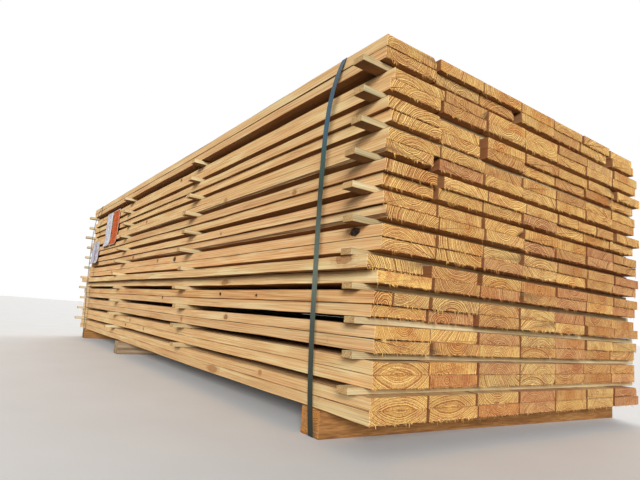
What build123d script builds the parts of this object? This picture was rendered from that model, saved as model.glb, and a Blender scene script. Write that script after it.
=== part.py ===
from build123d import *
import os
import random

# One pack of sawn softwood boards: courses laid in pairs with a row of thin stickers
# between the pairs, three bearers below, two bands round it and three blank pouches.
# Length runs along X with the near end at +X, the long front side faces -Y, Z is up.
# Millimetres. While the pack is built, X is 0 at the near end, Y is 0 on the front line.

# Boards
board_thickness = 38.0
board_width = 225.0
board_length = 4200.0
board_gap = 3.0
least_gap = 1.0

# Stickers (the thin battens between the layers)
sticker_thickness = 20.0
sticker_width = 50.0
sticker_overhang = 97.0

# Bearers
bearer_width = 100.0
bearer_height = 85.0
bearer_overhang = 49.0
split_bearer_upper = 50.0

# Bands
band_width = 25.0
band_thickness = 1.0
band_groove_play = 0.5
band_bow = 56.0
band_rest_gap = 0.6
weld_length = 35.0

# Pouches (A4, blank)
pouch_long = 297.0
pouch_short = 210.0
pouch_thickness = 1.2
pouch_kick = 13.0

courses_per_layer = 2

# How far the front edge of each board is moved from its regular column line.
# One row per course, the lowest course first, boards from front to back.
side_steps = [
    [2, 6, 9, 9, 6, 6, 12],
    [2, 0, 5, 8, 6, 12, 19],
    [3, 3, 3, 9, 3, 0, 8],
    [3, 3, 3, 6, 4, 2, 0],
    [2, 10, 6, 6, 3, 0, 0],
    [2, 0, 0, 0, 0, 5, 4],
    [0, 3, -2, 0, 0, 13, 12],
    [-6, -4, -2, -4, -5, -6, -5, -4],
    [0, 4, 5, 12, 9, 6, 4],
    [-42, -5, 9, 9, 8, 14, 14],
    [9, 12, 12, 14, 14, 14, 14],
    [8, 10, 12, 15, 15, 16, 18],
    [22, 20, 18, 18, 17, 18, 16],
    [10, 8, 10, 18, 16, 14, 12],
    [12, 14, 13, 8, 6, 6, 2],
    [2, 23, 24, 21, 14, 13, 14, 27],
    [0, 12, 9, 5, 4, 3, 0],
    [11, 9, 7, 4, 3, 3, 2],
    [16, 14, 15, 15, 14, 12, 8],
    [3, 5, 15, 17, 17, 17, 32],
    [6, 14, 15, 15, 13, 10, 8],
    [22, 20, 19, 20, 20, 20, 22],
    [-10, -12, -14, -13, -14, -26, 12],
    [-12, -14, -15, -13, -12, -11, 9],
]

# How far the near end of each board stands out (+) or back (-) from the end line.
end_steps = [
    [0, 2, 0, -2, 0, 3, 0],
    [0, 3, -2, 0, 2, 0, -2],
    [2, 0, 2, -2, -4, -8, -10],
    [0, -4, 2, 0, -6, -10, -10],
    [0, 2, -2, 2, 0, -11, -11],
    [0, -3, 2, 5, 0, 2, -2],
    [-18, -16, 0, 3, 0, 3, 2],
    [-3, -4, 2, 0, 4, -2, 0, -8],
    [0, 2, -2, 4, -2, 0, -6],
    [2, -3, 0, -2, 4, 0, 2],
    [0, -4, 2, -3, -6, 0, -4],
    [0, 4, 0, 2, 3, 3, 6],
    [-3, -2, 4, -10, -6, 0, -2],
    [-4, 0, 3, 2, -4, 0, 2],
    [-18, -8, -7, 0, -12, -12, -10],
    [2, 6, 5, 4, 6, 4, 5, 10],
    [0, -6, 0, -3, 0, 4, -2],
    [0, 2, -4, 0, 3, 0, 2],
    [0, -14, 2, -12, -10, -2, -10],
    [0, -14, 3, 4, 2, 6, 12],
    [0, 0, 4, 0, -2, 2, 4],
    [0, 2, 0, -3, 2, 0, 6],
    [-8, -16, -16, 0, -4, -6, 2],
    [-4, 4, 4, 2, 0, 2, -4],
]

# Two courses hold narrow boards: each board's share of a full column, front to back.
shares = {
    8: [1 / 3, 2 / 3, 1, 1, 1, 1, 1, 1],
    16: [1, 1, 1, 1, 2 / 3, 2 / 3, 2 / 3, 1],
}

# Boards sawn scant: (course, board): how much narrower than their column.
scant = {
    (1, 6): 12, (2, 2): 6, (2, 5): 6, (2, 6): 6, (2, 7): 18, (3, 7): 8, (4, 5): 6,
    (5, 5): 8, (6, 5): 5, (7, 2): 9, (7, 5): 6, (9, 2): 3, (10, 2): 3, (12, 3): 10,
    (14, 2): 5, (15, 1): 4, (16, 4): 12, (16, 7): 4, (17, 1): 17, (19, 2): 14,
    (20, 2): 10, (22, 2): 6, (23, 3): 18, (23, 5): 18, (23, 7): 12, (24, 1): 5,
    (24, 5): 8, (24, 7): 16,
}

# Wane, where the round of the log was left on an edge:
# (course, board, side, level, width and height of the missing corner at the near end).
wane = [
    (24, 1, "back", "high", 22, 18),
    (23, 3, "back", "high", 18, 24),
    (22, 2, "back", "low", 20, 28),
    (20, 6, "back", "high", 46, 24),
    (19, 6, "back", "high", 40, 14),
    (17, 1, "front", "low", 9, 11),
    (14, 3, "back", "low", 48, 28),
    (13, 1, "front", "low", 12, 15),
    (12, 3, "back", "low", 16, 18),
    (10, 1, "back", "high", 10, 26),
    (9, 4, "front", "high", 14, 16),
    (7, 4, "back", "high", 12, 10),
    (5, 2, "front", "low", 12, 20),
    (3, 4, "back", "low", 18, 14),
    (2, 7, "back", "high", 14, 14),
]
wane_at_far_end = 0.35
far_end_spread = 12.0

# Stickers of the near row, lowest level first: how far their near face is from the
# end line, and how far they stand out of the front side.
near_row_back = [40, 40, 41, 58, 59, 54, 48, 41, 26, 32, 35]
near_row_out = [45, 36, 35, 38, 50, 55, 70, 75, 71, 65, 72]

# The other rows: distance of their near face from the end line, and how far they stand
# out at the front, both with some spread.
row_places = [board_length * 0.343, board_length * 0.674, board_length - 62.0]
row_place_spread = 9.0
row_out = 54.0
row_out_spread = 16.0

# Bearers: distance of the middle of the front end from the near end line, how far the
# front end stands out, and how far the bearer leans towards the near end at its back.
# A band leans too, its top towards the near end, and lies a little off its bearer's middle.
bearer_places = {
    "near": (267.0, 1.0, 90.0),
    "middle": (2612.0, 30.0, 20.0),
    "far": (board_length - 262.0, 6.0, -34.0),
}
band_lean = 46.0
band_off_centre = 9.0

column_pitch = board_width + board_gap
pack_width = len(side_steps[0]) * column_pitch - board_gap
sticker_length = pack_width + sticker_overhang
bearer_length = pack_width + bearer_overhang
course_count = len(side_steps)
layer_count = course_count // courses_per_layer
layer_height = courses_per_layer * board_thickness + sticker_thickness
stack_height = layer_count * layer_height - sticker_thickness
stack_top = bearer_height + stack_height


def course_bottom(course):
    """Height of the underside of a course, counted from 1 at the bottom."""
    layer, place = divmod(course - 1, courses_per_layer)
    return bearer_height + layer * layer_height + place * board_thickness


def course_edges(course):
    """Front and back edge of each board of a course, from front to back."""
    parts_of_column = shares.get(course, [1] * len(side_steps[course - 1]))
    edges = []
    line = 0.0
    for number, part in enumerate(parts_of_column, start=1):
        front = line + side_steps[course - 1][number - 1]
        if edges:
            front = max(front, edges[-1][1] + least_gap)
        width = part * column_pitch - board_gap - scant.get((course, number), 0)
        edges.append((front, front + width))
        line += part * column_pitch
    return edges


def corner_wedge(length, y_corner, z_corner, y_size, z_size):
    """The long wedge of wood missing from a waney edge, near end at X = 0."""
    def corner_face(x, scale):
        points = [
            (x, y_corner - y_size * 0.2, z_corner - z_size * 0.2),
            (x, y_corner + y_size * scale, z_corner - z_size * 0.2),
            (x, y_corner - y_size * 0.2, z_corner + z_size * scale),
        ]
        return make_face(Polyline(*points, close=True))

    return loft([corner_face(2.0, 1.0), corner_face(-length - 2.0, wane_at_far_end)])


def board(near, far, front, back, bottom, cuts):
    """One board as a box, less its waney edges."""
    solid = Pos((near + far) / 2, (front + back) / 2, bottom + board_thickness / 2) * Box(
        near - far, back - front, board_thickness
    )
    for side, level, wide, high in cuts:
        y_corner, y_size = (front, wide) if side == "front" else (back, -wide)
        if level == "low":
            z_corner, z_size = bottom, high
        else:
            z_corner, z_size = bottom + board_thickness, -high
        wedge = corner_wedge(near - far, y_corner, z_corner, y_size, z_size)
        solid = solid - Pos(near, 0, 0) * wedge
    return solid


def make_course(course):
    """All boards of one course; they lie side by side and do not touch."""
    chance = random.Random(course)
    boards = []
    for number, (front, back) in enumerate(course_edges(course), start=1):
        near = end_steps[course - 1][number - 1]
        far = -board_length + chance.uniform(-far_end_spread, far_end_spread)
        cuts = [row[2:] for row in wane if row[:2] == (course, number)]
        boards.append(board(near, far, front, back, course_bottom(course), cuts))
    return boards


def make_stickers(level):
    """The four stickers that lie on one layer."""
    chance = random.Random(100 + level)
    bottom = bearer_height + level * layer_height - sticker_thickness
    rows = [(near_row_back[level - 1], near_row_out[level - 1])]
    for place in row_places:
        back = place + chance.uniform(-row_place_spread, row_place_spread)
        rows.append((back, row_out + chance.uniform(-row_out_spread, row_out_spread)))
    return [
        Pos(
            -back - sticker_width / 2,
            sticker_length / 2 - out,
            bottom + sticker_thickness / 2,
        )
        * Box(sticker_width, sticker_length, sticker_thickness)
        for back, out in rows
    ]


def leaning_bar(place, width, bottom, top):
    """A bar across the pack that leans along X from its front end to its back end."""
    middle, out, lean = place
    front, back = -out, bearer_length - out
    points = [
        (-middle - width / 2, front),
        (-middle + width / 2, front),
        (-middle + width / 2 + lean, back),
        (-middle - width / 2 + lean, back),
    ]
    face = make_face(Polyline(*points, close=True))
    return extrude(Pos(0, 0, bottom) * face, amount=top - bottom)


def make_bearer(name):
    """A bearer; those under a band have a shallow groove that the band lies in."""
    middle, out, lean = bearer_places[name]
    groove = leaning_bar(
        (middle - band_off_centre, out, lean),
        band_width + 3, -1.0, band_thickness + band_groove_play,
    )
    return leaning_bar(bearer_places[name], bearer_width, 0.0, bearer_height) - groove


def outer_line(points):
    """The points that a tight band would touch, anticlockwise."""
    def half(ordered):
        kept = []
        for point in ordered:
            while len(kept) > 1:
                (ay, az), (by, bz) = kept[-2], kept[-1]
                if (by - ay) * (point[1] - az) - (bz - az) * (point[0] - ay) > 0:
                    break
                kept.pop()
            kept.append(point)
        return kept[:-1]

    ordered = sorted(set(points))
    return half(ordered) + half(ordered[::-1])


def make_band(name):
    """A band round the pack: tight on top, behind and below, slack at the front."""
    middle, out, lean = bearer_places[name]
    seat = band_thickness + band_groove_play
    bearer_back = bearer_length - out

    middle_line = pack_width / 2
    section = [(bearer_back, seat), (bearer_back, bearer_height)]
    section += [(middle_line, seat), (middle_line, stack_top)]
    for course in range(1, course_count + 1):
        back_edge = course_edges(course)[-1][1]
        section.append((back_edge, course_bottom(course)))
        section.append((back_edge, course_bottom(course) + board_thickness))
    behind = [(y, z) for y, z in outer_line(section) if y > middle_line]
    behind.sort(key=lambda point: point[1])

    # At the front the band hangs off the pack and only leans on the proudest board.
    proud_front, proud_course = min(
        (course_edges(course)[0][0], course) for course in range(1, course_count + 1)
    )
    proud_height = course_bottom(proud_course)
    top_front = course_edges(course_count)[0][0]
    bow = [
        (0, -out, seat),
        (0, -0.22 * band_bow, bearer_height),
        (0, proud_front - band_rest_gap, proud_height),
        (0, -band_bow, bearer_height + 0.70 * stack_height),
        (0, -0.86 * band_bow, bearer_height + 0.87 * stack_height),
        (0, top_front, stack_top),
    ]
    round_the_pack = Polyline(
        bow[0], *[(0, y, z) for y, z in behind], bow[-1]
    )
    inner = make_face(round_the_pack + Spline(*bow))
    outer = offset(inner, amount=band_thickness, kind=Kind.ARC)
    ring = extrude(outer - inner, amount=band_width / 2, both=True)
    weld = Pos(0, middle_line, stack_top + 1.5 * band_thickness) * Box(
        band_width, weld_length, band_thickness
    )
    ring = ring + weld

    slope = lean / bearer_length
    rise = band_lean / stack_top
    move = -middle + band_off_centre + slope * out
    leaning = Matrix(
        [
            [1.0, slope, rise, move],
            [0.0, 1.0, 0.0, 0.0],
            [0.0, 0.0, 1.0, 0.0],
            [0.0, 0.0, 0.0, 1.0],
        ]
    )
    return ring.transform_geometry(leaning)


def make_pouch(near, top, wide, high):
    """A blank pouch pinned to the front side; its free lower edge stands off."""
    covered = [
        course_edges(course)[0][0]
        for course in range(1, course_count + 1)
        if course_bottom(course) + board_thickness > top - high and course_bottom(course) < top
    ]
    back = min(covered)
    line = [(0.0, 0.0), (0.0, 0.76), (0.12, 0.84), (0.45, 0.92), (1.0, 1.0)]
    inner = [(0, back - pouch_kick * kick, top - high * down) for kick, down in line]
    outer = [(0, y - pouch_thickness, z) for _, y, z in reversed(inner)]
    face = make_face(Polyline(*(inner + outer), close=True))
    return Pos(near - wide, 0, 0) * extrude(face, amount=wide, dir=(1, 0, 0))


nodes = {}
for course in range(1, course_count + 1):
    nodes[f"boards_course_{course:02d}"] = make_course(course)
for level in range(1, layer_count):
    nodes[f"stickers_level_{level:02d}"] = make_stickers(level)

nodes["bearer_near"] = [make_bearer("near")]
nodes["bearer_far"] = [make_bearer("far")]
middle_place = bearer_places["middle"]
packing_height = bearer_height - split_bearer_upper
nodes["bearer_middle_packing"] = [
    leaning_bar(middle_place, bearer_width, 0.0, packing_height)
]
nodes["bearer_middle_top"] = [
    leaning_bar(middle_place, bearer_width, packing_height, bearer_height)
]
nodes["band_near"] = [make_band("near")]
nodes["band_far"] = [make_band("far")]

pouch_top = course_bottom(22) + 0.7 * board_thickness
low_pouch_top = course_bottom(18)
nodes["pouch_orange"] = [
    make_pouch(-0.761 * board_length, pouch_top, pouch_short, pouch_long)
]
nodes["pouch_white"] = [
    make_pouch(-0.817 * board_length, pouch_top, pouch_short, pouch_long)
]
nodes["pouch_low"] = [
    make_pouch(-0.913 * board_length, low_pouch_top, pouch_long, pouch_short)
]

# The centre of the base becomes the origin.
boxes = [solid.bounding_box() for solids in nodes.values() for solid in solids]
x_middle = (min(box.min.X for box in boxes) + max(box.max.X for box in boxes)) / 2
y_middle = (min(box.min.Y for box in boxes) + max(box.max.Y for box in boxes)) / 2
to_centre = Pos(-x_middle, -y_middle, 0)

os.makedirs("parts", exist_ok=True)
for name, solids in nodes.items():
    placed = [to_centre * solid for solid in solids]
    shape = placed[0] if len(placed) == 1 else Compound(children=placed)
    export_step(shape, f"parts/{name}.step")
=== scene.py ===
import bpy
import math
import numpy as np
from mathutils import Matrix, Vector


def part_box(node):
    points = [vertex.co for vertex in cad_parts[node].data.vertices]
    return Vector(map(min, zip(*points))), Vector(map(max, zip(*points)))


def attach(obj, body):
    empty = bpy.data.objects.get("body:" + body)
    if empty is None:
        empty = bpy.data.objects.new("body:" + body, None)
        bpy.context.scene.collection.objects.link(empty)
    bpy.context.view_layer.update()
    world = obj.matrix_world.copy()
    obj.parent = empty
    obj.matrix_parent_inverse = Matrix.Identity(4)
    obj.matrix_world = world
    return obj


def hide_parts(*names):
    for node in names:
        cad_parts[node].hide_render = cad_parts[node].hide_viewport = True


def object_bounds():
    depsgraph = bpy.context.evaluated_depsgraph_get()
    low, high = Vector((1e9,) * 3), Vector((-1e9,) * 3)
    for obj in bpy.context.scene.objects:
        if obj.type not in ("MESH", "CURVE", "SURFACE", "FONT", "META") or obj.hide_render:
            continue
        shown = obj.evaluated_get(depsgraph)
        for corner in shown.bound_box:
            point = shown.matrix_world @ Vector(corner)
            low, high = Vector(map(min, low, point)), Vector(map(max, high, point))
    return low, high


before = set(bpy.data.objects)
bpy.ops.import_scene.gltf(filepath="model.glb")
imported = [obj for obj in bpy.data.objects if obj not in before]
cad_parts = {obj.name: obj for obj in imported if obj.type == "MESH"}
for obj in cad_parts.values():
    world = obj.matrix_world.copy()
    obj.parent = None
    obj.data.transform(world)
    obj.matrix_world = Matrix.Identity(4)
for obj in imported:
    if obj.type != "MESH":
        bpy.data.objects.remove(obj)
cad_box = [list(corner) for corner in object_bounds()]
scene = bpy.context.scene
scene.view_settings.view_transform = "Standard"


# The place where the pack is shown: a plain pale floor, a white surround, two
# soft suns and the camera at the photograph's angle, near the pack's corner.

floor_size = 80
floor_mottle_mm = 330
# How bright the surround is to the eye, and how much light it throws on the pack.
white_to_eye, white_on_pack = 1.0, 0.24
# Each sun's name, power, softness in degrees and the way towards it.
suns = (
    ("key sun", 3.8, 20, (0.78, -0.60, 0.26)),
    ("fill sun", 2.0, 70, (-0.70, 0.60, 0.50)),
)
# The camera's heading is from +Y towards -X, its tilt upwards; all three in degrees.
camera_place = (3.1275, -1.7046, 0.3669)
camera_heading, camera_tilt, camera_roll = 55.248, 8.707, 4.522
camera_lens_mm, camera_film_mm = 27.71, 36


def linear(hex_colour):
    """An sRGB hex colour as linear red, green, blue and 1."""
    values = [int(hex_colour[i:i + 2], 16) / 255 for i in (1, 3, 5)]
    return [v / 12.92 if v <= 0.04045 else ((v + 0.055) / 1.055) ** 2.4 for v in values] + [1]


def connect(tree, made, inputs):
    """Gives a node's sockets, by name or number, their values or links."""
    for name, value in inputs.items():
        if isinstance(value, bpy.types.NodeSocket):
            tree.links.new(value, made.inputs[name])
        else:
            made.inputs[name].default_value = value


def node(tree, kind, inputs=(), stops=(), **settings):
    """Adds one node with its settings, ramp stops and links, and returns its outputs.

    The kind is the node's type without the word ShaderNode. The inputs are given in the
    order of its sockets, or by name or number. A mix of colours takes its share at socket
    0 and its colours at 6 and 7, and gives them at 2.
    """
    made = tree.nodes.new("ShaderNode" + kind)
    for name, value in settings.items():
        setattr(made, name, value)
    for i, (level, colour) in enumerate(stops):
        stop = made.color_ramp.elements[i] if i < 2 else made.color_ramp.elements.new(level)
        stop.position = level
        stop.color = colour
    connect(tree, made, inputs if isinstance(inputs, dict) else dict(enumerate(inputs)))
    return made.outputs


def new_material(name):
    """A new node material: itself, its tree and its principled shader."""
    made = bpy.data.materials.new(name)
    made.use_nodes = True
    return made, made.node_tree, made.node_tree.nodes["Principled BSDF"]


def seen_directly(tree):
    """1 for what the camera, a reflection or a pane of glass shows, and 0 for lighting."""
    rays = node(tree, "LightPath")
    seen = rays["Is Camera Ray"]
    for other in ("Is Glossy Ray", "Is Transmission Ray"):
        seen = node(tree, "Math", (seen, rays[other]), operation="MAXIMUM")[0]
    return seen


world = bpy.data.worlds.new("studio surround")
scene.world = world
world.use_nodes = True
tree = world.node_tree
strength = node(tree, "MapRange", {0: seen_directly(tree), 3: white_on_pack, 4: white_to_eye})[0]
connect(tree, tree.nodes["Background"], {"Color": linear("#ffffff"), "Strength": strength})

# Matt floor paint: pale to the eye, with a faint roller mottle; it throws back less
# light than it shows, so that the undersides of the boards keep their shade.
floor_paint, tree, shader = new_material("pale matt floor paint")
position = node(tree, "NewGeometry")["Position"]
mottle = node(tree, "TexNoise",
              {"Vector": position, "Scale": 1000 / floor_mottle_mm, "Detail": 2.0})[0]
pale = node(tree, "Mix", {0: mottle, 6: linear("#eceae7"), 7: linear("#f4f3f1")},
            data_type="RGBA")[2]
paint = node(tree, "Mix", {0: seen_directly(tree), 6: linear("#545351"), 7: pale},
             data_type="RGBA")[2]
connect(tree, shader, {"Base Color": paint, "Roughness": 0.9, "IOR": 1.45})

bpy.ops.mesh.primitive_plane_add(size=floor_size, location=(0, 0, 0))
floor = bpy.context.object
floor.name = "floor"
floor.data.materials.append(floor_paint)

for name, power, softness, towards in suns:
    lamp = bpy.data.lights.new(name, "SUN")
    lamp.energy = power
    lamp.angle = math.radians(softness)
    holder = bpy.data.objects.new(name, lamp)
    holder.matrix_world = Vector(towards).to_track_quat("Z", "Y").to_matrix().to_4x4()
    scene.collection.objects.link(holder)

lens = bpy.data.cameras.new("photograph's angle")
lens.lens = camera_lens_mm
lens.sensor_width = camera_film_mm
camera = bpy.data.objects.new("camera", lens)
camera.matrix_world = (
    Matrix.Translation(camera_place)
    @ Matrix.Rotation(math.radians(camera_heading), 4, "Z")
    @ Matrix.Rotation(math.radians(90 + camera_tilt), 4, "X")
    @ Matrix.Rotation(math.radians(camera_roll), 4, "Z")
)
scene.collection.objects.link(camera)
scene.camera = camera


# Bearers: rough-sawn softwood beams that the pack stands on, the middle one made of
# two pieces. A band lies in a shallow groove under each of the two outer ones.

bearer_width, bearer_height = 0.100, 0.085
split_bearer_upper = 0.050
bearer_arris, worn_arris = 0.0016, 0.0040
# Steps and sawing as sawn_body explains them, then the least and the most ring width.
bearer_steps = (0.04, 0.010, 0.010)
bearer_sawing = {"thin": 0.0003, "wander": 0.0025, "rough": 0.0005, "torn": 0.002}
bearer_rings = (0.005, 0.008)
bearer_tones = [(1.0, 1.0, 1.0), (0.95, 0.93, 0.9), (1.02, 0.97, 0.9)]
# The axis that a piece lies along: X along the pack, or Y across it.
along_pack, across_pack = 0, 1


def end_outline(faces, places, along, level):
    """The corners of one flat end, anticlockwise from its lowest first corner."""
    same_level, least_turn = 1e-4, 1e-8
    edges = set()
    for corners in faces:
        if all(abs(places[i][along] - level) < same_level for i in corners):
            for a, b in zip(corners, corners[1:] + corners[:1]):
                if (b, a) in edges:
                    edges.discard((b, a))
                else:
                    edges.add((a, b))
    following = dict(edges)
    chain = [next(iter(following))]
    while following[chain[-1]] != chain[0]:
        chain.append(following[chain[-1]])
    points = np.array([np.delete(places[i], along) for i in chain])
    before, after = points - np.roll(points, 1, axis=0), np.roll(points, -1, axis=0) - points
    turn = before[:, 0] * after[:, 1] - before[:, 1] * after[:, 0]
    points = points[np.abs(turn) > least_turn]
    ahead = np.roll(points, -1, axis=0)
    if (points[:, 0] * ahead[:, 1] - ahead[:, 0] * points[:, 1]).sum() < 0:
        points = points[::-1]
    return np.roll(points, -int(np.argmin(points.sum(axis=1))), axis=0)


def sawn_pieces(name, along):
    """Start, end and both end outlines of every piece in a CAD node, the front one first."""
    per_metre = 1e5  # corners in the same hundredth of a millimetre are one corner
    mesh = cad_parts[name].data
    known, places, index = {}, [], []
    for vertex in mesh.vertices:
        key = tuple(round(value * per_metre) for value in vertex.co)
        if key not in known:
            known[key] = len(places)
            places.append(np.array(vertex.co))
        index.append(known[key])
    leader = list(range(len(places)))

    def first(i):
        while leader[i] != i:
            i = leader[i]
        return i

    faces = [[index[v] for v in polygon.vertices] for polygon in mesh.polygons]
    for corners in faces:
        for corner in corners[1:]:
            leader[first(corner)] = first(corners[0])
    groups = {}
    for corners in faces:
        groups.setdefault(first(corners[0]), []).append(corners)
    pieces = []
    for group in groups.values():
        levels = [places[i][along] for corners in group for i in corners]
        start, end = min(levels), max(levels)
        pieces.append((start, end, end_outline(group, places, along, start),
                       end_outline(group, places, along, end)))
    return sorted(pieces, key=lambda piece: piece[2][:, 0].mean())


def finer_outline(low, high, wide_step, high_step, arris):
    """Both outlines with eased arrises and with points spread along their edges."""
    most_inset = 0.3
    made = [[], []]
    for i in range(len(high)):
        j = (i + 1) % len(high)
        edge = high[j] - high[i]
        step = wide_step if abs(edge[0]) > abs(edge[1]) else high_step
        parts = max(1, int(round(np.linalg.norm(edge) / step)))
        for which, points in enumerate((low, high)):
            side = points[j] - points[i]
            long = max(np.linalg.norm(side), 1e-6)
            inset = min(arris, long * most_inset) / long
            for share in np.linspace(inset, 1 - inset, parts + 1):
                made[which].append(points[i] + side * share)
    return np.array(made[0]), np.array(made[1])


def waves(chance, along, amount, longest, shortest, count=6):
    """A smooth wander between 0 and the amount, along the length."""
    full_turn, usual_height = 6.28, 1.3
    total = np.zeros_like(along)
    for _ in range(count):
        wave = math.exp(chance.uniform(math.log(shortest), math.log(longest)))
        total = total + np.sin(along * 2 * math.pi / wave + chance.uniform(0, full_turn))
    return amount * (0.5 + 0.5 * np.clip(total / math.sqrt(count) / usual_height, -1, 1))


class WoodMesh:
    """Collects vertices, faces and the values that the wood material reads.

    grain is a place in the piece's own wood, and ring the way from its heart line. place
    is the piece's width, the way in from its front side and up from its lower face. tone
    is the piece's colour. marks are ring width, bark and boldness. knot is how near a
    logged knot is in its radii, how dark it is, and the radius of the heartwood.
    """

    def __init__(self):
        self.places, self.faces, self.count = [], [], 0
        self.values = {name: [] for name in ("grain", "ring", "place", "tone", "marks", "knot")}

    def add(self, places, faces, **values):
        self.places.append(places.reshape(-1, 3))
        self.faces.extend([[i + self.count for i in face] for face in faces])
        for name, rows in self.values.items():
            rows.append(np.broadcast_to(values[name], places.shape).reshape(-1, 3))
        self.count += places.size // 3

    def finish(self, name, material, slot, node_name):
        mesh = bpy.data.meshes.new(name)
        mesh.from_pydata(np.concatenate(self.places).tolist(), [], self.faces)
        for key, rows in self.values.items():
            made = mesh.attributes.new(key, "FLOAT_VECTOR", "POINT")
            made.data.foreach_set("vector", np.concatenate(rows).astype(np.float32).ravel())
        mesh.materials.append(material)
        thing = bpy.data.objects.new(name, mesh)
        scene.collection.objects.link(thing)
        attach(thing, "root")
        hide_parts(node_name)


def sag(x):
    """How far the wood hangs down between the bearers, most in its longer span."""
    near_bearer, middle_bearer, far_bearer = 1.88, -0.50, -1.86
    longer_sag, shorter_sag = 0.004, 0.0015
    longer_span = np.clip((x - middle_bearer) / (near_bearer - middle_bearer), 0, 1)
    shorter_span = np.clip((x - far_bearer) / (middle_bearer - far_bearer), 0, 1)
    return (longer_sag * np.sin(math.pi * longer_span) ** 2
            + shorter_sag * np.sin(math.pi * shorter_span) ** 2)


def stations_for(start, end, step, knots):
    """Places along a piece where its section is drawn: close at the ends and round knots."""
    end_stations, end_zone = [0.0, 0.0013, 0.004, 0.009, 0.020, 0.040], 0.07
    knot_reach, knot_step = 2.4, 0.006
    least_step = 0.0009
    inner = max(2, int((end - start - 2 * end_zone) / step))
    places = [start + e for e in end_stations] + [end - e for e in end_stations]
    places += list(np.linspace(start + end_zone, end - end_zone, inner))
    for at, _, _, long, _, _ in knots:
        places += list(np.arange(at - knot_reach * long, at + knot_reach * long, knot_step))
    kept = []
    for place in sorted(p for p in places if start <= p <= end):
        if not kept or place - kept[-1] > least_step:
            kept.append(place)
    kept[-1] = end
    return np.array(kept)


def sawn_faces(chance, rings, stations, sawing):
    """Sections with unevenly sawn faces, the way inwards at each point, and where wane is."""
    # The longest and shortest waves that the saw left on the sides and on the wide faces,
    # and the slants between which a face is neither of them, but wane.
    side_waves, face_waves = (2.4, 0.5), (1.4, 0.25)
    least_slant, most_slant, wane_roughness = 0.3, 0.96, 0.0022
    edge = np.roll(rings, -1, axis=1) - np.roll(rings, 1, axis=1)
    inward = np.stack([-edge[..., 1], edge[..., 0]], axis=-1)
    inward /= np.linalg.norm(inward, axis=-1, keepdims=True)
    side = np.abs(inward[..., 0])
    push = sawing["rough"] * chance.random_sample(side.shape)
    for sign in (1, -1):
        wander = waves(chance, stations, sawing["wander"], *side_waves)
        push += (inward[..., 0] * sign > 0) * side * wander[:, None]
        thinner = waves(chance, stations, 1.0, *face_waves)
        push += (inward[..., 1] * sign > 0) * (1 - side) * thinner[:, None] ** 2 * sawing["thin"]
    waney = (side > least_slant) & (side < most_slant)
    push += waney * wane_roughness * chance.random_sample(side.shape)
    return rings + inward * push[..., None], inward, waney


def cut_ends(chance, rings, inward, arris, torn):
    """Eases the first and last section and tears their lower arris; returns its set-back."""
    end_easing = 0.7
    # How unequal the tears are, and how much of each the next section and the end follow.
    inequality, next_share, end_share = 1.5, 0.7, 0.8
    set_back = np.zeros(rings.shape[:2])
    middle = rings.mean(axis=1, keepdims=True)
    for row, inner_row in ((0, 1), (-1, -2)):
        gap = middle[row] - rings[row]
        rings[row] += gap / np.linalg.norm(gap, axis=-1, keepdims=True) * arris * end_easing
        lower = inward[row, :, 1] > 0.5
        tears = torn * chance.random_sample(rings.shape[1]) ** inequality * lower
        rings[row, :, 1] += tears
        rings[inner_row, :, 1] += tears * next_share
        set_back[row] = tears * end_share
    return set_back


def logged_knot(knots, u, v, w):
    """How near each point is to a logged knot, in its radii, and how dark that knot is."""
    knot_depth, far_away = 0.06, 4.0
    nearest, darkness = np.full(u.shape, far_away), np.zeros(u.shape)
    for at, over, height, long, tall, dark in knots:
        apart = np.sqrt(((u - at) / long) ** 2 + ((w - height) / tall) ** 2
                        + ((v - over) / knot_depth) ** 2)
        darkness = np.where(apart < nearest, dark, darkness)
        nearest = np.minimum(nearest, apart)
    return nearest, darkness


def triples(*three):
    """Three values for each point, as one array."""
    return np.stack(np.broadcast_arrays(*three), axis=-1)


def sawn_body(wood, piece, along, chance, look, steps, arris, sawing, knots=(), hang=True,
              joints=(False, False)):
    """Adds one sawn piece: its CAD outlines joined along its length, uneven inwards only.

    steps: how far apart its sections are, and the points across and up a section.
    sawing: how much the saw thinned it, wandered, left rough and tore at the ends.
    joints: on which sides, front and back, another piece lies against this one.
    """
    start, end, low, high = piece
    low, high = finer_outline(low, high, steps[1], steps[2], arris)
    stations = stations_for(start, end, steps[0], knots)
    count = len(low)
    share = (stations - start) / (end - start)
    rings = low[None] * (1 - share)[:, None, None] + high[None] * share[:, None, None]
    rings, inward, waney = sawn_faces(chance, rings, stations, sawing)
    u = np.broadcast_to(stations[:, None], waney.shape)
    v, w = rings[..., 0] - low[:, 0].min(), rings[..., 1] - low[:, 1].min()
    set_back = cut_ends(chance, rings, inward, arris, sawing["torn"])

    places = np.zeros((len(stations), count, 3))
    places[..., along] = stations[:, None] + set_back * np.where(share < 0.5, 1, -1)[:, None]
    places[..., [axis for axis in range(3) if axis != along]] = rings
    if hang:
        places[..., 2] -= sag(places[..., 0])

    faces = []
    for i in range(len(stations) - 1):
        a, b = i * count, (i + 1) * count
        faces += [[a + j, a + (j + 1) % count, b + (j + 1) % count, b + j] for j in range(count)]
    last = (len(stations) - 1) * count
    faces += [list(range(count))[::-1], [last + j for j in range(count)]]
    if along == across_pack:
        faces = [face[::-1] for face in faces]

    # An outer side counts as lying 10 mm further out, so that it gets no painted shade as a side
    # between boards.
    open_air = [0.0 if joint else 0.01 for joint in joints]
    reach = low[:, 0].max() - low[:, 0].min() + open_air[0] + open_air[1]
    nearest, darkness = logged_knot(knots, u, v, w)
    wood.add(places, faces, tone=look["tone"],
             grain=triples(u, v, w) + look["offset"],
             ring=triples(0.0, v - look["across"] - look["lean"][0] * u,
                          w - look["up"] - look["lean"][1] * u),
             place=triples(reach, v + open_air[0], w),
             marks=triples(look["pitch"], waney, look["bold"]),
             knot=triples(nearest, darkness, look["core"]))


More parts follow.
